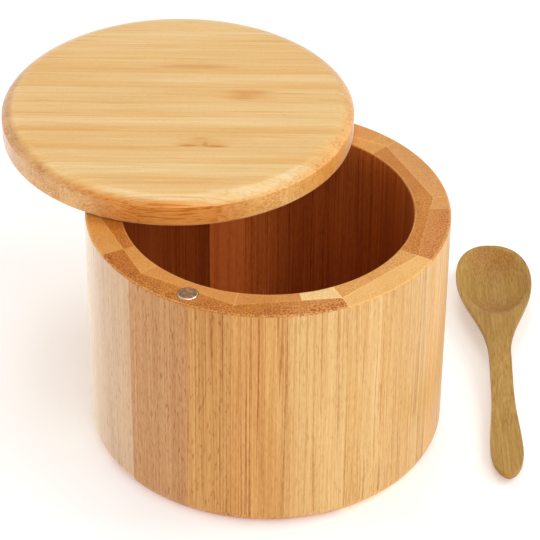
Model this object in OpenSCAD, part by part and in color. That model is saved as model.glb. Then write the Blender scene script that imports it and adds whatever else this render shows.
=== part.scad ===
// Salt box of bamboo with its small spoon.
// The wall is coopered from two-ply staves, with a bottom board let into a step at its foot.
// The lid is a disc of edge-glued strips. It swivels on a pin and magnets hold it shut.
// Lengths are millimetres. The box stands on z = 0 with its axis on Z, and its front faces -Y.
// The lid is drawn swung open, and the spoon lies on the table beside the box.

/* [Wall] */
// Outside diameter of the box
body_d = 89; // [80:1:110]
// Height of the box without its lid
body_h = 63.5; // [45:0.5:100]
// Thickness of the wall, both plies together
wall_t = 9; // [8:0.5:13]
// Thickness of the inner ply at the middle of a stave
inner_ply_t = 3.2; // [2.4:0.1:4]
// Number of staves round the wall
stave_count = 10; // [8:1:14]
// Angle of the first joint between staves, anticlockwise from +X
stave_start = 7.3; // [0:0.1:36]
// Rounding of the outer edge at the foot
foot_round = 4; // [1:0.5:5]
// Rounding of the outer and inner edges of the rim
rim_round = 0.6; // [0.2:0.1:1.5]

/* [Bottom board] */
// Thickness of the bottom board
bottom_t = 6; // [4:0.5:10]
// Width of the step in the wall that the bottom board lies under
step_w = 1.6; // [1:0.1:2]
// Gap for glue round the bottom board, and round the pin and magnets
glue_gap = 0.05; // [0.02:0.01:0.1]

/* [Lid] */
// Thickness of the lid
lid_t = 7.5; // [6:0.5:12]
// How far the edge of the lid stands out past the wall
lid_overhang = 0; // [-1:0.1:3]
// Number of strips across the lid
strip_count = 14; // [8:2:20]
// Width of the narrow strip left at each side of the lid
edge_strip_w = 2.5; // [1.5:0.1:5]
// Angle of the strips to the line from the middle of the lid to its pivot
strip_turn = -1; // [-10:0.5:10]
// Radius of the rounding over the top edge of the lid
lid_round = 5.5; // [3:0.5:10]
// How far the rounding comes down the side of the lid
lid_round_drop = 2.2; // [0.5:0.1:3]
// Rounding of the lower edge of the lid
lid_lower_round = 0.6; // [0.2:0.1:1.5]
// Gap between the rim and the lid
lid_gap = 0.3; // [0.1:0.1:0.6]
// How far the lid is swung open, clockwise from above
lid_open = 63.8; // [0:0.1:180]

/* [Pivot and catch] */
// Angle of the pivot round the rim, anticlockwise from +X
pivot_angle = 64.9; // [50:0.1:80]
// Angle of the magnets round the rim when the lid is shut
magnet_angle = 242.6; // [220:0.1:260]
// Diameter of the pivot pin
pin_d = 4; // [3:0.5:5]
// Depth of the pin in the wall
pin_depth = 14; // [8:1:25]
// Length of the pin that stands in the lid
pin_rise = 4.5; // [3:0.5:5]
// Radial play of the lid on its pin
pin_play = 0.06; // [0.02:0.01:0.1]
// Air left above the pin in its socket
pin_air = 0.5; // [0.2:0.1:0.8]
// Bevel at both ends of the pin
pin_bevel = 0.4; // [0.2:0.1:0.8]
// Diameter of the magnets
magnet_d = 5; // [4:0.5:6]
// Thickness of the magnets
magnet_t = 2; // [1.5:0.5:4]
// Rounding of the edges of the magnets
magnet_round = 0.45; // [0.1:0.05:0.6]
// Bevel round the mouth of each magnet's pocket
pocket_bevel = 0.2; // [0.1:0.05:0.5]

/* [Spoon] */
// Length of the spoon
spoon_l = 92; // [82:1:120]
// Width of the bowl
bowl_w = 20.5; // [16:0.5:28]
// Length from the widest part of the bowl to its tip
bowl_tip_l = 15.6; // [12:0.2:20]
// Length over which the neck widens into the bowl
shoulder_l = 31.6; // [24:0.2:36]
// Height of the rim of the bowl above the table
bowl_h = 8; // [6:0.5:11]
// Depth of the hollow of the bowl
hollow_depth = 5.2; // [3:0.2:5.6]
// Width of the rim left round the hollow
hollow_rim = 1; // [0.6:0.1:2]
// Thickness of the edge of the bowl
bowl_edge_t = 1.4; // [1:0.1:2]
// Width of the neck
neck_w = 5.8; // [4:0.2:8]
// Width of the handle near its end
handle_w = 8.3; // [7:0.1:12]
// Thickness of the handle
handle_t = 3.6; // [3:0.2:5]
// Thickness of the edge of the handle
handle_edge_t = 1.6; // [1:0.1:2.4]
// Length of the rounded end of the handle
handle_round_l = 9.5; // [6:0.5:14]
// Length over which the handle narrows to the neck
handle_taper_l = 22; // [15:1:24]
// Distance from the wall to the end of the handle, along X
spoon_gap = 16; // [12:0.5:40]
// Distance of the end of the handle in front of the middle of the box
spoon_front = 28; // [-20:0.5:60]
// Turn of the spoon on the table, anticlockwise from above
spoon_turn = -0.5; // [-10:0.5:4]

/* [Hidden] */
$fn = 180;
over = 1;
body_r = body_d / 2;
bore_r = body_r - wall_t;
stave_angle = 360 / stave_count;
ply_line_d = bore_r + inner_ply_t;
bottom_r = bore_r + step_w - glue_gap;
lid_r = body_r + lid_overhang;
lid_round_w = sqrt(lid_round_drop * (2 * lid_round - lid_round_drop));
strip_w = 2 * (lid_r - edge_strip_w) / (strip_count - 2);
pivot_r = (body_r + bore_r) / 2;
pin_r = pin_d / 2;
magnet_r = magnet_d / 2;
pocket_r = magnet_r + glue_gap;
bowl_mid = spoon_l - bowl_tip_l;
neck_end = bowl_mid - shoulder_l;
bowl_tip_power = 2.3;
hollow_power = 0.85;
handle_end_power = 2;
spoon_steps = 36;
across_steps = 16;

outer_wood = "burlywood";
inner_wood = "peru";
lid_wood = "navajowhite";
spoon_wood = "darkkhaki";

function two_digits(i) = i < 10 ? str("0", i) : str(i);
function stave_name(i, ply) = str("stave_", two_digits(i), "_", ply, "_ply");
function strip_name(i) = str("lid_strip_", two_digits(i));

// A point at distance r from the axis, in direction a
function at_angle(r, a) = [r * cos(a), r * sin(a)];

// Takes the corner at (x, y) off a profile whose material lies towards side_x and side_y
module rounded_corner(x, y, side_x, side_y, r) {
    translate([x, y])
        difference() {
            translate([side_x > 0 ? -over : -r, side_y > 0 ? -over : -r])
                square(r + over);
            translate([side_x * r, side_y * r])
                circle(r);
        }
}

// Section of the finished wall, turned after the staves are glued up
module wall_profile() {
    difference() {
        translate([bore_r, 0])
            square([wall_t, body_h]);
        translate([0, -over])
            square([bore_r + step_w, bottom_t + over]);
        rounded_corner(body_r, 0, -1, 1, foot_round);
        rounded_corner(body_r, body_h, -1, -1, rim_round);
        rounded_corner(bore_r, body_h, 1, -1, rim_round);
    }
}

// Plan of one ply of one stave: radial sides, and a straight glue line between the plies
module ply_plan(i, outer) {
    a0 = stave_start + (i - 1) * stave_angle;
    a1 = a0 + stave_angle;
    line_r = ply_line_d / cos(stave_angle / 2);
    far_r = outer ? (body_r + over) / cos(stave_angle / 2) : bore_r / 2;
    polygon([at_angle(line_r, a0), at_angle(far_r, a0), at_angle(far_r, a1), at_angle(line_r, a1)]);
}

module stave_ply(i, outer) {
    color(outer ? outer_wood : inner_wood)
        difference() {
            intersection() {
                rotate_extrude()
                    wall_profile();
                linear_extrude(body_h + over)
                    ply_plan(i, outer);
            }
            pin_bore();
            at_rim(magnet_angle)
                mirror([0, 0, 1])
                    magnet_pocket();
        }
}

module bottom_board() {
    color(inner_wood)
        cylinder(r = bottom_r, h = bottom_t);
}

// Moves a piece to the middle of the rim, at its top face
module at_rim(a) {
    rotate(a)
        translate([pivot_r, 0, body_h])
            children();
}

module pin_bore() {
    at_rim(pivot_angle)
        translate([0, 0, -pin_depth])
            cylinder(r = pin_r + glue_gap, h = pin_depth + over);
}

// Pocket that opens at z = 0 and goes up from there
module magnet_pocket() {
    translate([0, 0, -over])
        cylinder(r = pocket_r, h = magnet_t + over);
    translate([0, 0, -over])
        cylinder(r1 = pocket_r + pocket_bevel + over, r2 = pocket_r, h = pocket_bevel + over);
}

module magnet() {
    color("silver")
        rotate_extrude()
            difference() {
                square([magnet_r, magnet_t]);
                rounded_corner(magnet_r, 0, -1, 1, magnet_round);
                rounded_corner(magnet_r, magnet_t, -1, -1, magnet_round);
            }
}

// Moves a piece drawn with the lid's middle at the origin and its pivot on +X to the open lid
module on_lid() {
    at_rim(pivot_angle)
        rotate(-lid_open)
            translate([-pivot_r, 0, lid_gap])
                children();
}

// Place of the lid's magnet, which meets the one in the rim when the lid is shut
module at_lid_magnet() {
    rotate(magnet_angle - pivot_angle)
        translate([pivot_r, 0, 0])
            children();
}

// Section of the lid: its top edge is a shallow arc that meets the side at a soft corner
module lid_disc() {
    rotate_extrude()
        difference() {
            square([lid_r, lid_t]);
            difference() {
                translate([lid_r - lid_round_w, lid_t - lid_round_drop])
                    square([lid_round_w + over, lid_round_drop + over]);
                translate([lid_r - lid_round_w, lid_t - lid_round])
                    circle(lid_round);
            }
            rounded_corner(lid_r, 0, -1, 1, lid_lower_round);
        }
}

// Edge between two strips, counted from the front of the lid
function strip_edge(k) =
    k == 0 ? -lid_r - over :
    k == strip_count ? lid_r + over :
    edge_strip_w - lid_r + (k - 1) * strip_w;

module lid_strip(i) {
    low = strip_edge(i - 1);
    high = strip_edge(i);
    color(lid_wood)
        on_lid()
            difference() {
                intersection() {
                    lid_disc();
                    rotate(strip_turn)
                        translate([-lid_r - over, low, -over])
                            cube([2 * (lid_r + over), high - low, lid_t + 2 * over]);
                }
                translate([pivot_r, 0, -over])
                    cylinder(r = pin_r + pin_play, h = pin_rise + pin_air + over);
                at_lid_magnet()
                    magnet_pocket();
            }
}

module pivot_pin() {
    pin_l = pin_depth + lid_gap + pin_rise;
    color("silver")
        at_rim(pivot_angle)
            translate([0, 0, -pin_depth])
                rotate_extrude()
                    polygon([
                        [0, 0],
                        [pin_r - pin_bevel, 0],
                        [pin_r, pin_bevel],
                        [pin_r, pin_l - pin_bevel],
                        [pin_r - pin_bevel, pin_l],
                        [0, pin_l]
                    ]);
}

module rim_magnet() {
    at_rim(magnet_angle)
        translate([0, 0, -magnet_t])
            magnet();
}

module lid_magnet() {
    on_lid()
        at_lid_magnet()
            magnet();
}

// Smooth step from 0 to 1, level at both ends
function ease(t) = (1 - cos(180 * min(1, max(0, t)))) / 2;
function mix(a, b, t) = a + (b - a) * t;
// Falls from 1 to 0 along a rounded end, as t goes from 0 to 1
function end_round(t, power) = pow(max(0, 1 - pow(t, power)), 1 / power);

// Share of each form along the spoon, with s measured from the end of the handle
function handle_end(s) =
    s < handle_round_l ? end_round((handle_round_l - s) / handle_round_l, handle_end_power) : 1;
function bowl_tip(s) = s > bowl_mid ? end_round((s - bowl_mid) / bowl_tip_l, bowl_tip_power) : 1;
function bowl_share(s) = ease((s - neck_end) / shoulder_l);
function handle_width(s) = mix(handle_w, neck_w, ease((s - handle_round_l) / handle_taper_l));

function spoon_half_width(s) =
    mix(handle_width(s), bowl_w, bowl_share(s)) / 2 * handle_end(s) * bowl_tip(s);
function spoon_top(s) =
    mix(handle_t, bowl_h, ease((s - handle_round_l) / (bowl_mid - bowl_tip_l - handle_round_l)));
function spoon_edge_t(s) = mix(handle_edge_t, bowl_edge_t, bowl_share(s));
function spoon_belly(s) =
    mix(handle_t - handle_edge_t, bowl_h - bowl_edge_t, bowl_share(s)) * handle_end(s) * bowl_tip(s);

// Depth of the hollow below the rim of the bowl, a full dish with a crisp oval edge
function hollow(s, x) =
    let (along = (s - bowl_mid) / (bowl_tip_l - hollow_rim))
    let (across = x / (bowl_w / 2 - hollow_rim))
    hollow_depth * pow(max(0, 1 - along * along - across * across), hollow_power);

// Stations along the spoon, closer together at its two rounded ends
least_end = 0.0008;
function station(k) = spoon_l * mix(least_end, 1 - least_end, ease(k / spoon_steps));

// One section: across the top from one edge to the other, then back underneath
function spoon_section(s) =
    let (w = spoon_half_width(s))
    concat(
        [for (j = [0 : across_steps])
            let (x = w * sin(90 * (2 * j / across_steps - 1)))
            [x, s, spoon_top(s) - hollow(s, x)]],
        [for (j = [across_steps : -1 : 0])
            let (v = sin(90 * (2 * j / across_steps - 1)))
            [w * v, s, spoon_top(s) - spoon_edge_t(s) - spoon_belly(s) * (1 - v * v)]]
    );

module spoon() {
    ring = 2 * (across_steps + 1);
    points = [for (k = [0 : spoon_steps]) each spoon_section(station(k))];
    sides = [
        for (k = [0 : spoon_steps - 1])
            for (j = [0 : ring - 1])
                let (a = k * ring + j)
                let (b = k * ring + (j + 1) % ring)
                each [[a, b + ring, b], [a, a + ring, b + ring]]
    ];
    // The two blunt ends, closed between the top and the underside
    far = spoon_steps * ring;
    ends = [
        for (j = [0 : across_steps - 1])
            let (top = j)
            let (under = ring - 1 - j)
            each [
                [top, top + 1, under],
                [under, top + 1, under - 1],
                [far + top, far + under, far + top + 1],
                [far + under, far + under - 1, far + top + 1]
            ]
    ];
    color(spoon_wood)
        translate([body_r + spoon_gap, -spoon_front, 0])
            rotate(spoon_turn)
                polyhedron(points, concat(sides, ends));
}

for (i = [1 : stave_count]) {
    stave_ply(i, true);
    stave_ply(i, false);
}
bottom_board();
for (i = [1 : strip_count]) {
    lid_strip(i);
}
pivot_pin();
rim_magnet();
lid_magnet();
spoon();
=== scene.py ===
import math

import bmesh
import bpy
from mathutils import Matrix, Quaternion, Vector


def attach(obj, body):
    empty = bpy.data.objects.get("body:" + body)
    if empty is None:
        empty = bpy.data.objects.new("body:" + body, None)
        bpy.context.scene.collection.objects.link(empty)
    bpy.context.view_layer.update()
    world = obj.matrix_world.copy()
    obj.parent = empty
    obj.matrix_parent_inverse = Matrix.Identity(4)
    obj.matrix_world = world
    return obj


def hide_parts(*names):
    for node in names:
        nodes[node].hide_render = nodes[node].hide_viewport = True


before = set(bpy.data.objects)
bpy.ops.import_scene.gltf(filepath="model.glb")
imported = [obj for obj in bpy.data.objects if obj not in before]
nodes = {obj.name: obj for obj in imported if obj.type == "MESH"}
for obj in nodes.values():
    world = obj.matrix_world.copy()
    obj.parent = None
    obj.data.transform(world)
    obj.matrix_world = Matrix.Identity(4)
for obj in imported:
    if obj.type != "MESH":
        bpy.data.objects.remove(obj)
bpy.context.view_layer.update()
scene = bpy.context.scene
scene.view_settings.view_transform = "Standard"
mm = 0.001
print("frame:", len(nodes), "nodes")


def tint(red, green, blue):  # screen colour 0-255 to a linear colour
    def linear(level):
        level /= 255
        return level / 12.92 if level <= 0.04045 else ((level + 0.055) / 1.055) ** 2.4
    return (linear(red), linear(green), linear(blue), 1.0)


def feed(tree, socket, value):  # a link or a plain value
    if isinstance(value, bpy.types.NodeSocket):
        tree.links.new(value, socket)
    else:
        socket.default_value = value


def calc(tree, operation, *values, clamp=False):
    node = tree.nodes.new("ShaderNodeMath")
    node.operation = operation
    node.use_clamp = clamp
    for socket, value in zip(node.inputs, values):
        feed(tree, socket, value)
    return node.outputs[0]


def vectorCalc(tree, operation, *vectors):
    node = tree.nodes.new("ShaderNodeVectorMath")
    node.operation = operation
    for socket, vector in zip(node.inputs, vectors):
        feed(tree, socket, vector)
    return node.outputs["Value" if operation in ("DOT_PRODUCT", "LENGTH") else "Vector"]


def axes(tree, vector):  # x, y and z
    node = tree.nodes.new("ShaderNodeSeparateXYZ")
    feed(tree, node.inputs[0], vector)
    return node.outputs


def fade(tree, value, low, high, start=0.0, end=1.0):  # smooth step from start to end
    node = tree.nodes.new("ShaderNodeMapRange")
    node.interpolation_type = "SMOOTHSTEP"
    feed(tree, node.inputs["Value"], value)
    node.inputs["From Min"].default_value = low
    node.inputs["From Max"].default_value = high
    node.inputs["To Min"].default_value = start
    node.inputs["To Max"].default_value = end
    return node.outputs["Result"]


def mixValue(tree, share, first, second):
    return calc(tree, "MULTIPLY_ADD", share, calc(tree, "SUBTRACT", second, first), first)


def mixColour(tree, share, first, second, mode="MIX"):
    node = tree.nodes.new("ShaderNodeMix")
    node.data_type = "RGBA"
    node.blend_type = mode
    feed(tree, node.inputs[0], share)
    feed(tree, node.inputs[6], first)
    feed(tree, node.inputs[7], second)
    return node.outputs[2]


def toned(tree, share, colour, tone):  # a share of the tone laid over the colour
    return mixColour(tree, share, colour, mixColour(tree, 1.0, colour, tone, "MULTIPLY"))


def noise(tree, vector, scale, detail, rough):
    node = tree.nodes.new("ShaderNodeTexNoise")
    node.inputs["Scale"].default_value = 1.0
    node.inputs["Detail"].default_value = detail
    node.inputs["Roughness"].default_value = rough
    feed(tree, node.inputs["Vector"], vectorCalc(tree, "MULTIPLY", vector, scale))
    return node


def dots(tree, vector, gap):  # distance from the nearest dot, in gaps
    node = tree.nodes.new("ShaderNodeTexVoronoi")
    node.voronoi_dimensions = "2D"
    node.inputs["Scale"].default_value = 1.0
    node.inputs["Randomness"].default_value = 0.8
    feed(tree, node.inputs["Vector"], vectorCalc(tree, "MULTIPLY", vector, (1 / gap, 1 / gap, 0)))
    return node.outputs["Distance"]


def plane(angle, away=0.0):  # upright plane through the axis at that angle, or at that distance across it
    turn = math.radians(angle)
    if away:
        return (math.cos(turn), math.sin(turn), 0.0, away)
    return (-math.sin(turn), math.cos(turn), 0.0, 0.0)


def fromPlane(tree, spot, surface):  # signed distance in mm
    x, y, z, away = surface
    return calc(tree, "SUBTRACT", vectorCalc(tree, "DOT_PRODUCT", spot, (x, y, z)), away)


def startMaterial(name):  # with its shader, texture coordinates and the place in mm
    material = bpy.data.materials.new(name)
    material.use_nodes = True
    tree = material.node_tree
    source = tree.nodes.new("ShaderNodeTexCoord").outputs
    spot = vectorCalc(tree, "MULTIPLY", source["Object"], (1 / mm, 1 / mm, 1 / mm))
    return material, tree, tree.nodes["Principled BSDF"], source, spot


def dress(node, material):
    mesh = nodes[node].data
    mesh.materials.clear()
    mesh.materials.append(material)


# bamboo: the fibre bundles run along the grain, so they are streaks on a long face and dots on end grain.
# Lengths are mm, colours are screen colours, and tones multiply a colour

bambooBase = {
    "centre": (0, 0, 0), "turn": (0, 0, 0),  # bring the grain on to Z
    "seed": 0.0, "seedStep": (37.1, 19.7, 53.3),
    "pale": (242, 197, 134), "deep": (224, 168, 102),  # long face
    "fine": 0.4, "mid": 0.14, "broad": 0.25,  # shares of the streaks of each width
    "fuzz": 0.21, "hair": 0.7, "gleam": 0.5,  # short grain, thin dark lines and thin pale ones
    "contrast": 1.3, "length": 1.0, "grainRough": 0.55,
    "wander": (0.18, 0.18), "drift": (0.03, 0.03, 0.035),  # how far the fibres wander, and how fast per mm
    "fibre": (0.54, 0.28, 0.09), "dash": 0.25,  # tone of the dark lines, and the share of the dashes
    "shine": (1.08, 1.2, 1.24), "lineWidth": 0.05, "faint": (0.35, 0.7),  # pale lines, width, least strengths
    "endPale": (216, 148, 70), "endDeep": (198, 126, 52),  # end grain
    "endDot": (176, 108, 44), "endShow": 0.4,
    "endFrom": (0.3, 0.85),  # lean towards the grain where end grain starts and is full
    "bundleGap": 0.7, "bundleSize": 0.42, "clump": (0.7, 1.1), "dotEdge": (0.5, 1.2),  # dots, size in gaps
    "skin": None, "skinShow": (0.5, 1.0),  # radii between which the dots grow stronger towards the skin
    "seams": [], "seamWidth": (0.02, 0.26), "seamShow": 0.7,  # planes of the glue lines
    "faceSeam": (0.84, 0.76, 0.68), "endSeam": (1.2, 1.38, 1.7),
    "edge": None,  # the lid's side, see there
    "streaks": [],  # single dark streaks: plane, half width, show
    "split": None, "blur": 0.1,  # plane, what differs beyond it, and half the width of the change
    "inside": None, "insideEnd": (0.05, 0.3),  # radius of the bore, and how deep its painted shade goes
    "boreShadePale": (212, 122, 54), "boreShadeDeep": (172, 88, 34),
    "slope": None, "slopeEnd": 0.7,  # plane, width and two tones, and where the second is full
    "marks": [], "markTone": (0.8, 0.55, 0.17),  # x, y, half length, half width, show
    "markEdge": (0.35, 1.25), "markRagged": 0.5,
    "worn": None, "wornWidth": (0.05, 0.3), "wornFrom": (62.6, 63.1),  # painted highlight along the rim edge: radius, height
    "wornTone": (236, 184, 116), "wornShow": (0.25, 0.6), "wornPatches": (0.2, 0.9),
    "rough": 0.36, "roughSpread": 0.14, "gloss": 0.2,
    "relief": 0.3, "reliefDepth": 0.05, "hairDepth": 0.8,
    "fluff": 0.0, "varnish": 0.0, "haze": 0.3,  # sheen, coat and the roughness of both
}
grainNoise = {  # scale across and along the grain per mm, detail, levels where it starts and is full
    "fine": (2.4, 0.02, 2.0, 0.32, 0.68),
    "mid": (0.8, 0.008, 2.0, 0.32, 0.68),
    "broad": (0.16, 0.006, 1.0, 0.32, 0.68),
    "fuzz": (3.2, 0.5, 2.0, 0.34, 0.66),
    "dash": (2.2, 0.35, 1.0, 0.58, 0.72),
    "lines": (2.2, 0.03, 2.0, 0.48, 0.62),
    "strength": (0.5, 0.012, 1.0, 0.35, 0.65),
    "crowd": (0.35, 0.02, 1.0, 0.36, 0.64),
}
lineNoise = {  # scale across and along the grain per mm, detail, and the level that a thin line follows
    "hair": (1.1, 0.006, 1.0, 0.5),
    "gleam": (0.7, 0.012, 1.0, 0.47),
}


def bambooFinish(name, **changes):
    look = {**bambooBase, **changes}
    material, tree, shader, source, spot = startMaterial(name)
    turn = [math.radians(angle) for angle in look["turn"]]

    moved = tree.nodes.new("ShaderNodeMapping")
    feed(tree, moved.inputs["Vector"], vectorCalc(tree, "SUBTRACT", spot, look["centre"]))
    moved.inputs["Rotation"].default_value = turn
    moved.inputs["Location"].default_value = [step * look["seed"] for step in look["seedStep"]]
    grain = moved.outputs["Vector"]
    facing = tree.nodes.new("ShaderNodeMapping")
    facing.vector_type = "NORMAL"
    facing.inputs["Rotation"].default_value = turn
    feed(tree, facing.inputs["Vector"], source["Normal"])
    lean = calc(tree, "ABSOLUTE", axes(tree, facing.outputs["Vector"])[2])
    endShare = fade(tree, lean, *look["endFrom"])
    radius = vectorCalc(tree, "LENGTH", vectorCalc(tree, "MULTIPLY", spot, (1, 1, 0)))
    placeX, placeY, placeZ = axes(tree, spot)

    split = look["split"]
    beyond = 0.0
    if split:  # two canes side by side
        blur = split.get("blur", look["blur"])
        beyond = fade(tree, fromPlane(tree, spot, split["at"]), -blur, blur)

    def amount(key):
        if split and key in split:
            return calc(tree, "MULTIPLY_ADD", beyond, split[key] - look[key], look[key])
        return look[key]

    def shade(key):
        if split and key in split:
            return mixColour(tree, beyond, tint(*look[key]), tint(*split[key]))
        return tint(*look[key])

    def both(first, second):
        return calc(tree, "MULTIPLY", first, second)

    def over(share, colour, tone):
        return toned(tree, share, colour, (*tone, 1))

    def pattern(vector, across, along, detail):
        scale = (across, across, along / look["length"])
        return noise(tree, vector, scale, detail, look["grainRough"]).outputs["Fac"]

    def streak(key, vector, start=0.0, end=1.0):
        across, along, detail, low, high = grainNoise[key]
        return fade(tree, pattern(vector, across, along, detail), low, high, start, end)

    def thinLine(key):
        across, along, detail, level = lineNoise[key]
        away = calc(tree, "SUBTRACT", pattern(wavy, across, along, detail), level)
        return fade(tree, calc(tree, "ABSOLUTE", away), 0.0, look["lineWidth"], 1.0, 0.0)

    # the fibres wander a little along their length
    drift = noise(tree, grain, look["drift"], 1.0, look["grainRough"]).outputs["Color"]
    wavy = vectorCalc(tree, "ADD", grain, vectorCalc(tree, "MULTIPLY", drift, (*look["wander"], 0.0)))

    fine = streak("fine", wavy)
    mid = streak("mid", wavy)
    fuzz = streak("fuzz", wavy)
    depth = both(fine, amount("fine"))
    depth = calc(tree, "MULTIPLY_ADD", mid, amount("mid"), depth)
    depth = calc(tree, "MULTIPLY_ADD", streak("broad", grain), look["broad"], depth)
    depth = calc(tree, "MULTIPLY_ADD", fuzz, amount("fuzz"), depth)
    depth = calc(tree, "SUBTRACT", depth, 0.5)  # contrast about the middle
    depth = calc(tree, "MULTIPLY_ADD", depth, look["contrast"], 0.5, clamp=True)

    # some dark lines are strong and some faint, and the short grain breaks them up
    faint, broken = look["faint"]
    hair = both(thinLine("hair"), streak("strength", wavy, faint, 1.0))
    hair = both(hair, fade(tree, fuzz, 0.0, 1.0, broken, 1.0))
    gleam = thinLine("gleam")

    size = both(streak("crowd", wavy, *look["clump"]), look["bundleSize"])
    near = calc(tree, "DIVIDE", dots(tree, wavy, look["bundleGap"]), size)
    bundles = fade(tree, near, *look["dotEdge"], 1.0, 0.0)
    if look["skin"]:
        bundles = both(bundles, fade(tree, radius, *look["skin"], *look["skinShow"]))

    face = mixColour(tree, depth, shade("pale"), shade("deep"))
    if look["inside"]:  # painted shade: the bore is painted darker and browner than the cut ends of the same staves
        ends = [look["inside"] + depthIn for depthIn in look["insideEnd"]]
        within = fade(tree, radius, *ends, 1.0, 0.0)
        boreShaded = mixColour(tree, depth, tint(*look["boreShadePale"]), tint(*look["boreShadeDeep"]))
        face = mixColour(tree, within, face, boreShaded)
    if look["slope"]:
        surface, width, low, high = look["slope"]
        across = calc(tree, "DIVIDE", fromPlane(tree, spot, surface), width)
        share = fade(tree, across, 0.0, look["slopeEnd"])
        face = toned(tree, 1.0, face, mixColour(tree, share, (*low, 1), (*high, 1)))
    edge = look["edge"]
    if edge:  # painted shade: the side is painted darker than the top
        level = calc(tree, "ABSOLUTE", axes(tree, source["Normal"])[2])
        wide = fade(tree, placeX, *edge["lipWide"])
        upright = mixValue(tree, wide, fade(tree, level, *edge["sideLevel"], 1.0, 0.0),
                           fade(tree, level, *edge["sideLevelWide"], 1.0, 0.0))
        face = over(upright, face, edge["side"])
        face = over(both(both(upright, streak("lines", wavy)), edge["lines"]), face, look["fibre"])

    face = over(both(hair, amount("hair")), face, look["fibre"])
    face = over(both(gleam, look["gleam"]), face, look["shine"])
    face = over(both(streak("dash", wavy), look["dash"]), face, look["fibre"])
    for surface, halfWidth, show in look["streaks"]:
        away = calc(tree, "ABSOLUTE", fromPlane(tree, wavy, surface))
        face = over(fade(tree, away, 0.0, halfWidth, show, 0.0), face, look["fibre"])
    for x, y, halfLength, halfWidth, show in look["marks"]:  # node marks of the cane
        away = vectorCalc(tree, "SUBTRACT", spot, (x, y, 0))
        oval = vectorCalc(tree, "MULTIPLY", away, (1 / halfLength, 1 / halfWidth, 0))
        ragged = calc(tree, "MULTIPLY_ADD", mid, look["markRagged"], vectorCalc(tree, "LENGTH", oval))
        face = over(fade(tree, ragged, *look["markEdge"], show, 0.0), face, look["markTone"])

    endFace = mixColour(tree, depth, shade("endPale"), shade("endDeep"))
    endFace = mixColour(tree, both(bundles, amount("endShow")), endFace, shade("endDot"))
    colour = mixColour(tree, endShare, face, endFace)
    if edge:  # painted light on the edge: the side beyond the split is painted lighter, its right end more orange against the sheen, and the curve between side and top carries a painted highlight
        colour = over(both(upright, beyond), colour, edge["beyond"])
        colour = over(both(upright, fade(tree, placeX, *edge["tipFrom"])), colour, edge["tip"])
        lipHighlight = mixValue(tree, wide, fade(tree, level, *edge["lipLevel"]),
                       fade(tree, level, *edge["lipLevelWide"]))
        lipHighlight = both(lipHighlight, fade(tree, level, *edge["topLevel"], 1.0, 0.0))
        lipHighlight = both(lipHighlight, fade(tree, placeY, *edge["lipBack"], 1.0, 0.0))
        lipHighlight = both(lipHighlight, fade(tree, placeX, *edge["lipFrom"]))
        colour = over(lipHighlight, colour, edge["lipHighlight"])
    seamTone = mixColour(tree, endShare, (*look["faceSeam"], 1), (*look["endSeam"], 1))
    for surface in look["seams"]:
        away = calc(tree, "ABSOLUTE", fromPlane(tree, spot, surface))
        colour = toned(tree, fade(tree, away, *look["seamWidth"], look["seamShow"], 0.0), colour, seamTone)
    # painted highlight along the rounded rim edges, broken into patches
    if look["worn"]:
        away = calc(tree, "ABSOLUTE", calc(tree, "SUBTRACT", radius, look["worn"]))
        share = fade(tree, away, *look["wornWidth"], 1.0, 0.0)
        share = both(share, fade(tree, placeZ, *look["wornFrom"]))
        share = both(share, fade(tree, fine, *look["wornPatches"], *look["wornShow"]))
        colour = mixColour(tree, share, colour, tint(*look["wornTone"]))
    feed(tree, shader.inputs["Base Color"], colour)

    spread = look["roughSpread"]
    rough = calc(tree, "MULTIPLY_ADD", fine, spread, look["rough"] - spread / 2)
    feed(tree, shader.inputs["Roughness"], rough)
    shader.inputs["Specular IOR Level"].default_value = look["gloss"]
    shader.inputs["Sheen Weight"].default_value = look["fluff"]
    shader.inputs["Sheen Roughness"].default_value = look["haze"]
    varnish = look["varnish"]
    if varnish:  # end grain drinks it in and stays matt
        feed(tree, shader.inputs["Coat Weight"], calc(tree, "MULTIPLY_ADD", endShare, -varnish, varnish))
        shader.inputs["Coat Roughness"].default_value = look["haze"]
    bump = tree.nodes.new("ShaderNodeBump")
    bump.inputs["Strength"].default_value = look["relief"]
    bump.inputs["Distance"].default_value = look["reliefDepth"] * mm
    feed(tree, bump.inputs["Height"], calc(tree, "MULTIPLY_ADD", hair, -look["hairDepth"], fine))
    feed(tree, shader.inputs["Normal"], bump.outputs["Normal"])
    return material


# wall: each ply has its own cane, so its own tone

wall = {"staves": 10, "start": 7.3, "step": 36, "plyLine": 38.7, "bore": 35.5, "skin": (38.7, 43.5),
        "innerEdge": 35.85, "outerEdge": 44.1, "outerHighlight": (0.05, 0.55)}
goldFace = {"pale": (216, 179, 121), "deep": (197, 146, 82)}
orangeFace = {"pale": (211, 160, 95), "deep": (184, 124, 61), "hair": 1.0, "mid": 0.1}
brownFace = {"pale": (197, 150, 102), "deep": (170, 116, 67), "fine": 0.35, "mid": 0.15, "fuzz": 0.3,
             "hair": 0.3, "gleam": 0.1, "dash": 0.55}
goldEnd = {"endPale": (222, 154, 74), "endDeep": (202, 132, 54), "endDot": (178, 108, 42), "endShow": 0.25}
amberEnd = {"endPale": (214, 144, 64), "endDeep": (196, 122, 48), "endDot": (168, 98, 36), "endShow": 0.35}
darkEnd = {"endPale": (206, 132, 40), "endDeep": (182, 106, 18), "endDot": (148, 70, 0), "endShow": 0.9}
glossy = {"fluff": 0.3, "varnish": 1.0}
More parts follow.
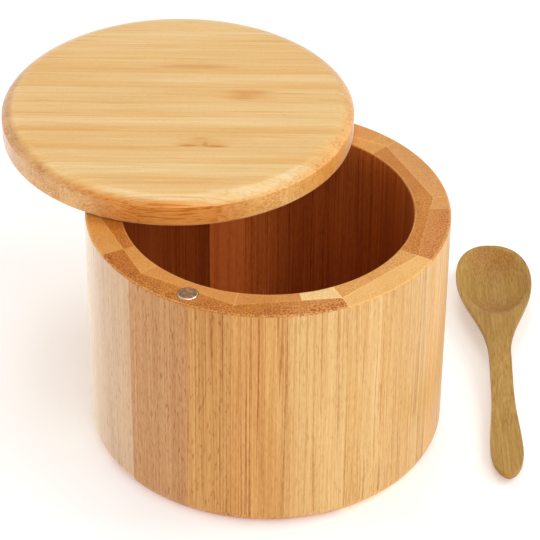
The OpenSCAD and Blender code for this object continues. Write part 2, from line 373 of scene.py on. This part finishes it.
outerPlies = {
    1: {**goldFace, **goldEnd, "endPale": (221, 159, 92), "endDeep": (205, 140, 74)},
    2: {**orangeFace, **goldEnd, "endPale": (224, 166, 88), "endDeep": (206, 146, 70),
        "split": {"at": plane(50), "endPale": (216, 156, 84), "endDeep": (200, 140, 70)}},
    3: {**goldFace, **amberEnd},
    4: {**orangeFace, **darkEnd},
    5: {**goldFace, **amberEnd, **glossy},
    6: {**brownFace, **goldEnd, **glossy, "pale": (227, 190, 141), "deep": (202, 157, 105),
        # painted reflection: this stave is painted whiter and bluer at its left edge, where light from the
        # left glances off it, and darker further right
        "slope": (plane(187.3), 26, (1.1, 1.3, 1.42), (0.8, 0.74, 0.72)),
        "split": {"at": plane(208), **darkEnd, "endPale": (200, 120, 18), "endDeep": (174, 95, 4),
                  "endDot": (138, 60, 0)}},
    7: {**brownFace, **darkEnd,
        "split": {"at": plane(245), "blur": 1.0, "pale": (206, 157, 94), "deep": (180, 122, 60),
                  "fine": 0.4, "fuzz": 0.21, "hair": 1.0},
        "streaks": [(plane(240.4), 0.5, 0.7), (plane(245), 0.4, 0.7), (plane(257.5), 0.4, 0.7)]},
    8: {**orangeFace, **darkEnd,
        "split": {"at": plane(276), "blur": 4, "pale": (216, 179, 121), "deep": (199, 149, 86), "hair": 0.7,
                  "endPale": (216, 146, 70), "endDeep": (198, 124, 50)},
        "streaks": [(plane(275.6), 0.6, 0.9)]},
    9: {**goldFace, "endPale": (240, 188, 114), "endDeep": (226, 168, 92), "endDot": (206, 142, 66),
        "endShow": 0.3, "wander": (0.9, 0.9)},
    10: {**darkEnd, "pale": (225, 182, 115), "deep": (204, 147, 76),
         "endPale": (212, 142, 70), "endDeep": (196, 122, 52), "endShow": 0.55,
         "split": {"at": plane(0), **goldEnd, "endPale": (223, 160, 92), "endDeep": (207, 141, 73)}},
}
innerPlies = {
    1: {**amberEnd, "endPale": (206, 134, 54), "endDeep": (188, 114, 40)},
    2: {**goldEnd, "endPale": (226, 165, 84), "endDeep": (208, 145, 66)},
    # painted light: this ply's bore is painted up to nearly three times lighter towards ply 4
    3: {**amberEnd, "slope": (plane(79.3), 22, (1, 1, 1), (2.0, 2.4, 2.8))},
    # painted shade: this ply's bore is painted darker next to its joint with ply 3
    4: {**amberEnd, "slope": (plane(115.3), 10, (0.8, 0.74, 0.7), (1.04, 1.04, 1.04))},
    5: {**goldEnd},
    6: {**darkEnd, "endPale": (200, 124, 46), "endDeep": (180, 104, 34), "endShow": 0.5,
        "split": {"at": plane(208), **goldEnd}},
    7: {**goldEnd, "endPale": (218, 148, 68), "endDeep": (204, 130, 54), "endShow": 0.35},
    8: {**amberEnd, "split": {"at": plane(282), "endPale": (244, 206, 144), "endDeep": (232, 188, 118),
                              "endDot": (214, 160, 88)}},
    9: {**amberEnd, "endPale": (228, 166, 90), "endDeep": (210, 144, 68)},
    10: {**darkEnd, "endPale": (210, 136, 54), "endDeep": (192, 118, 40), "endShow": 0.5},
}
bottomLook = {"seed": 30, "turn": (0, -90, 0), "pale": (214, 150, 88), "deep": (190, 122, 64)}

for i in range(1, wall["staves"] + 1):
    low = wall["start"] + (i - 1) * wall["step"]
    seams = [plane(low), plane(low + wall["step"]), plane(low + wall["step"] / 2, wall["plyLine"])]
    outer = bambooFinish(f"wallBamboo{i:02d}", seed=i, seams=seams, skin=wall["skin"],
                         worn=wall["outerEdge"], wornShow=wall["outerHighlight"], **outerPlies[i])
    inner = bambooFinish(f"innerBamboo{i:02d}", seed=i + 0.5, seams=seams, inside=wall["bore"],
                         worn=wall["innerEdge"], **innerPlies[i])
    dress(f"stave_{i:02d}_outer_ply", outer)
    dress(f"stave_{i:02d}_inner_ply", inner)
dress("bottom_board", bambooFinish("bottomBamboo", **bottomLook))
print("wall dressed")


# lid: edge-glued strips, each a little paler towards one side

lid = {"centre": (-23.02, 35.45, 63.8), "strips": 14, "width": 7, "edgeStrip": 2.5, "radius": 44.5,
       "angle": 0.1, "firstSeed": 40, "deepTone": (0.94, 0.78, 0.55)}
lidEdge = {  # the levels are how far a face looks up, 0 is upright and 1 the top
    "side": (0.82, 0.53, 0.28), "lines": 0.8,  # painted shade on upright faces, and the dark lines on them
    "sideLevel": (0.66, 0.94), "sideLevelWide": (0.5, 0.76),
    "beyond": (1.2, 1.24, 1.26),  # painted light on the side beyond the split
    "tip": (0.98, 0.74, 0.3), "tipFrom": (4, 19),  # its right end, painted darker and more orange against the sheen, and x where it starts and is full
    "lipHighlight": (1.04, 1.2, 1.6), "lipFrom": (-46, -34),  # painted highlight on the curve above it, and x where it starts
    "lipWide": (-24, -8), "lipBack": (0, 16),  # x where it takes up the whole curve, y where it ends
    "lipLevel": (0.76, 0.9), "lipLevelWide": (0.6, 0.8), "topLevel": (0.95, 0.99),
}
lidLook = {
    "centre": lid["centre"], "turn": (0, -90, 0), "length": 0.4, "edge": lidEdge,
    "pale": (237, 205, 149), "deep": (228, 183, 110), "fibre": (0.75, 0.46, 0.18),
    "fine": 0.25, "mid": 0.25, "broad": 0.4, "fuzz": 0.1, "hair": 0.4, "dash": 0.15, "gleam": 0.3,
    "endPale": (213, 166, 109), "endDeep": (193, 139, 85), "endDot": (164, 94, 30), "endShow": 0.5,
    "endFrom": (0.2, 0.55), "bundleGap": 0.6, "clump": (0.3, 1.15),
    "seamShow": 0.45, "faceSeam": (0.82, 0.7, 0.52), "fluff": 1.0,
    # painted light from the right: beyond this plane the ends of the strips are painted lighter
    "split": {"at": (1, 0, 0, lid["centre"][0] - 3), "blur": 6, "endPale": (233, 184, 115),
              "endDeep": (219, 163, 92), "endDot": (192, 112, 34)},
}
lidTones = [(0.2, 0.4), (0.4, 0.3), (0.4, 1.0), (0.35, 0.5), (0.2, 0.65), (0.1, 0.75), (0.45, 0.8),
            (0.7, 0.6), (0.4, 0.75), (0.25, 0.55), (0.25, 0.4), (0.55, 0.85), (0.3, 0.6),
            (0.5, 0.5)]  # front and back of each strip, 0 is deep and 1 pale
lidMarks = {5: [(-16.5, 16.8, 8.5, 3.4, 0.4), (-13.2, 14.8, 3.8, 0.9, 1.0), (-20, 15.1, 3.4, 0.8, 1.0),
                (-17, 18.6, 4.4, 0.6, 0.7), (-15.8, 16.2, 0.9, 1.8, 0.6)],
            8: [(-6, 39.6, 9, 3.4, 0.65), (-6.5, 37.2, 4, 0.7, 0.4), (-2, 40, 3, 1.2, 0.3)],
            10: [(-19, 52.5, 12, 1.6, 0.55), (-20, 48.9, 9, 0.9, 0.4)]}

stripTurn = math.radians(lid["angle"])
stripSide = Vector((-math.sin(stripTurn), math.cos(stripTurn), 0))
firstJoint = stripSide.dot(Vector(lid["centre"])) - lid["radius"] + lid["edgeStrip"]
for i in range(1, lid["strips"] + 1):
    front = firstJoint + (i - 2) * lid["width"]
    low, high = [[deep + (1 - deep) * t for deep in lid["deepTone"]] for t in lidTones[i - 1]]
    strip = bambooFinish(f"lidBamboo{i:02d}", seed=lid["firstSeed"] + i, marks=lidMarks.get(i, []),
                         seams=[(*stripSide, front), (*stripSide, front + lid["width"])],
                         slope=((*stripSide, front), lid["width"], low, high), **lidLook)
    dress(f"lid_strip_{i:02d}", strip)
print("lid dressed")


# magnets and pin

# the nickel's brown colour is a painted reflection of the wood around the magnet
nickel = {"colour": (158, 118, 84), "rough": 0.24, "scuffed": (0.3, 0.75),
          # the edge colour is a painted highlight on the rounded edge
          "edge": (220, 212, 202), "edgeHighlightLevel": (0.75, 0.98)}
steel = {"colour": (190, 190, 192), "rough": 0.3, "scuffed": (0.3, 0.7), "edge": None}
scuff = {"scale": (0.9, 0.9, 0.9), "detail": 3.0, "fine": 0.6, "dull": 0.74, "roughSpread": 0.2}


def metalFinish(name, look):
    material, tree, shader, source, spot = startMaterial(name)
    shader.inputs["Metallic"].default_value = 1.0
    rub = noise(tree, spot, scuff["scale"], scuff["detail"], scuff["fine"]).outputs["Fac"]
    rub = fade(tree, rub, *look["scuffed"])
    dull = [scuff["dull"] * level for level in look["colour"]]
    shine = mixColour(tree, rub, tint(*dull), tint(*look["colour"]))
    if look["edge"]:  # painted highlight: the rounded edge is painted bright
        rounded = fade(tree, axes(tree, source["Normal"])[2], *look["edgeHighlightLevel"], 1.0, 0.0)
        shine = mixColour(tree, rounded, shine, tint(*look["edge"]))
    feed(tree, shader.inputs["Base Color"], shine)
    spread = scuff["roughSpread"]
    rough = calc(tree, "MULTIPLY_ADD", rub, spread, look["rough"] - spread / 2)
    feed(tree, shader.inputs["Roughness"], rough)
    return material


magnetNickel = metalFinish("magnetNickel", nickel)
dress("rim_magnet", magnetNickel)
dress("lid_magnet", magnetNickel)
dress("pivot_pin", metalFinish("pinSteel", steel))
print("metal dressed")


# spoon

spoonShape = {  # mm and degrees
    "length": 92, "bowlWidth": 20.44, "bowlTip": 15.6, "tipPower": 2.3, "shoulder": 31.6, "bowlHeight": 8,
    "hollowDepth": 5.2, "hollowRim": 1, "hollowPower": 0.85, "bowlEdge": 1.4, "neckWidth": 5.8,
    "handleWidth": 8.3, "handleThick": 3.6, "handleEdge": 1.6, "handleRound": 9.5, "roundPower": 2,
    "handleTaper": 22, "end": (60.5, -28, 0), "turn": -0.5, "stations": 56, "across": 18,
}
spoonLook = {
    "seed": 70, "turn": (90, 0, 0), "pale": (189, 151, 80), "deep": (157, 117, 54),
    "broad": 0.3, "fuzz": 0.25, "hair": 0.25, "dash": 0.12, "rough": 0.45,
    "endPale": (183, 139, 72), "endDeep": (160, 114, 54), "endDot": (120, 74, 28), "endShow": 0.35,
    "endFrom": (0.1, 0.45), "bundleGap": 0.6,
}


def ease(t):
    return (1 - math.cos(math.pi * min(1, max(0, t)))) / 2


def between(a, b, t):
    return a + (b - a) * t


def roundEnd(t, power):
    return max(0, 1 - t ** power) ** (1 / power)


def makeSpoon(shape):  # s runs along the spoon from the end of the handle, v across it from -1 to 1
    tipStart = shape["length"] - shape["bowlTip"]
    neckEnd = tipStart - shape["shoulder"]

    def taper(s):
        share = 1.0
        if s < shape["handleRound"]:
            share *= roundEnd((shape["handleRound"] - s) / shape["handleRound"], shape["roundPower"])
        if s > tipStart:
            share *= roundEnd((s - tipStart) / shape["bowlTip"], shape["tipPower"])
        return share

    def bowl(s):
        return ease((s - neckEnd) / shape["shoulder"])

    def halfWidth(s):
        narrowing = ease((s - shape["handleRound"]) / shape["handleTaper"])
        handle = between(shape["handleWidth"], shape["neckWidth"], narrowing)
        return between(handle, shape["bowlWidth"], bowl(s)) / 2 * taper(s)

    def top(s):
        run = tipStart - shape["bowlTip"] - shape["handleRound"]
        return between(shape["handleThick"], shape["bowlHeight"], ease((s - shape["handleRound"]) / run))

    def hollow(s, x):
        along = (s - tipStart) / (shape["bowlTip"] - shape["hollowRim"])
        sideways = x / (shape["bowlWidth"] / 2 - shape["hollowRim"])
        inside = max(0, 1 - along * along - sideways * sideways)
        return shape["hollowDepth"] * inside ** shape["hollowPower"]

    def under(s, v):
        edge = between(shape["handleEdge"], shape["bowlEdge"], bowl(s))
        handleBelly = shape["handleThick"] - shape["handleEdge"]
        bowlBelly = shape["bowlHeight"] - shape["bowlEdge"]
        return top(s) - edge - between(handleBelly, bowlBelly, bowl(s)) * taper(s) * (1 - v * v)

    bm = bmesh.new()
    bmesh.ops.create_grid(bm, x_segments=shape["across"], y_segments=shape["stations"], size=0.5)
    least = 0.0001  # share of the length kept off both ends
    for vert in bm.verts:  # the flat grid becomes the upper face
        s = shape["length"] * between(least, 1 - least, ease(vert.co.y + 0.5))
        x = halfWidth(s) * math.sin(math.pi * vert.co.x)
        vert.co = (x, s, top(s) - hollow(s, x))
    below = bmesh.ops.extrude_face_region(bm, geom=bm.faces[:])
    for vert in [item for item in below["geom"] if isinstance(item, bmesh.types.BMVert)]:
        s = vert.co.y
        w = halfWidth(s)
        v = max(-1, min(1, vert.co.x / w)) if w > 1e-9 else 0
        vert.co.z = under(s, v)
    bmesh.ops.recalc_face_normals(bm, faces=bm.faces[:])
    turned = Quaternion((0, 0, 1), math.radians(shape["turn"])).to_matrix()
    bmesh.ops.rotate(bm, verts=bm.verts[:], cent=(0, 0, 0), matrix=turned)
    bmesh.ops.translate(bm, verts=bm.verts[:], vec=shape["end"])
    bmesh.ops.scale(bm, verts=bm.verts[:], vec=(mm, mm, mm))
    mesh = bpy.data.meshes.new("saltSpoon")
    bm.to_mesh(mesh)
    bm.free()
    mesh.shade_smooth()
    piece = bpy.data.objects.new("saltSpoon", mesh)
    scene.collection.objects.link(piece)
    smooth = piece.modifiers.new("smooth", "SUBSURF")
    smooth.levels = smooth.render_levels = 2
    return piece


spoon = makeSpoon(spoonShape)
spoon.data.materials.append(bambooFinish("spoonBamboo", **spoonLook))
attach(spoon, "spoon")
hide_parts("spoon")
print("spoon made")


# table, light and camera

table = {"reach": 3, "white": 0.9, "glow": 0.26, "rough": 0.9, "gloss": 0.1}  # the glow lifts the white
room = {"light": 0.42, "seen": 1.0}
lights = {  # place and size in metres, watts
    "keyLight": ((0.35, -0.8, 0.85), (1.0, 1.0), 4.4),
    "rightLight": ((0.9, -0.2, 0.5), (0.6, 0.6), 1.2),
    "backLight": ((-0.02, 0.48, 1.0), (0.4, 0.4), 2.2),
    "topLight": ((0.68, 0.08, 0.87), (0.4, 0.4), 2.2),
    "frontLight": ((0.35, -1.0, 0.16), (0.6, 0.2), 3.0),
    "leftLight": ((-0.85, 0.1, 0.2), (0.6, 0.3), 3.0),
}
lightAim = Vector((0, 0, 0.04))
view = {"place": (0.625, -522.697, 420.105), "target": (0.625, 0, 44.799), "roll": 0.6219,
        "lens": 173.59, "sensor": 36, "clip": 0.01}  # mm and degrees, clip in metres


def makeTable():
    bm = bmesh.new()
    bmesh.ops.create_grid(bm, x_segments=1, y_segments=1, size=table["reach"])
    mesh = bpy.data.meshes.new("table")
    bm.to_mesh(mesh)
    bm.free()
    floor = bpy.data.objects.new("table", mesh)
    scene.collection.objects.link(floor)
    material = bpy.data.materials.new("tableWhite")
    material.use_nodes = True
    shader = material.node_tree.nodes["Principled BSDF"]
    shader.inputs["Base Color"].default_value = (table["white"], table["white"], table["white"], 1)
    shader.inputs["Roughness"].default_value = table["rough"]
    shader.inputs["Specular IOR Level"].default_value = table["gloss"]
    shader.inputs["Emission Color"].default_value = (1, 1, 1, 1)
    shader.inputs["Emission Strength"].default_value = table["glow"]
    mesh.materials.append(material)


def makeRoom():
    world = bpy.data.worlds.new("studio")
    scene.world = world
    world.use_nodes = True
    tree = world.node_tree
    backdrop = tree.nodes["Background"].inputs
    backdrop["Color"].default_value = (1, 1, 1, 1)
    path = tree.nodes.new("ShaderNodeLightPath").outputs  # seen or mirrored, the room is plain white
    seen = calc(tree, "MAXIMUM", path["Is Camera Ray"], path["Is Glossy Ray"])
    seen = calc(tree, "MAXIMUM", seen, path["Is Transmission Ray"])
    strength = calc(tree, "MULTIPLY_ADD", seen, room["seen"] - room["light"], room["light"])
    feed(tree, backdrop["Strength"], strength)


def softbox(name, place, size, power):
    data = bpy.data.lights.new(name, "AREA")
    data.shape = "RECTANGLE"
    data.size, data.size_y = size
    data.energy = power
    lamp = bpy.data.objects.new(name, data)
    scene.collection.objects.link(lamp)
    lamp.location = place
    lamp.rotation_euler = (lightAim - Vector(place)).to_track_quat("-Z", "Y").to_euler()


def makeCamera():
    data = bpy.data.cameras.new("camera")
    data.lens = view["lens"]
    data.sensor_width = view["sensor"]
    data.clip_start = view["clip"]
    camera = bpy.data.objects.new("camera", data)
    scene.collection.objects.link(camera)
    camera.location = Vector(view["place"]) * mm
    aim = (Vector(view["target"]) - Vector(view["place"])).to_track_quat("-Z", "Y")
    camera.rotation_mode = "QUATERNION"
    camera.rotation_quaternion = aim @ Quaternion((0, 0, 1), math.radians(view["roll"]))
    bpy.context.scene.camera = camera


makeTable()
makeRoom()
for name, (place, size, power) in lights.items():
    softbox(name, place, size, power)
makeCamera()
print("stage set")
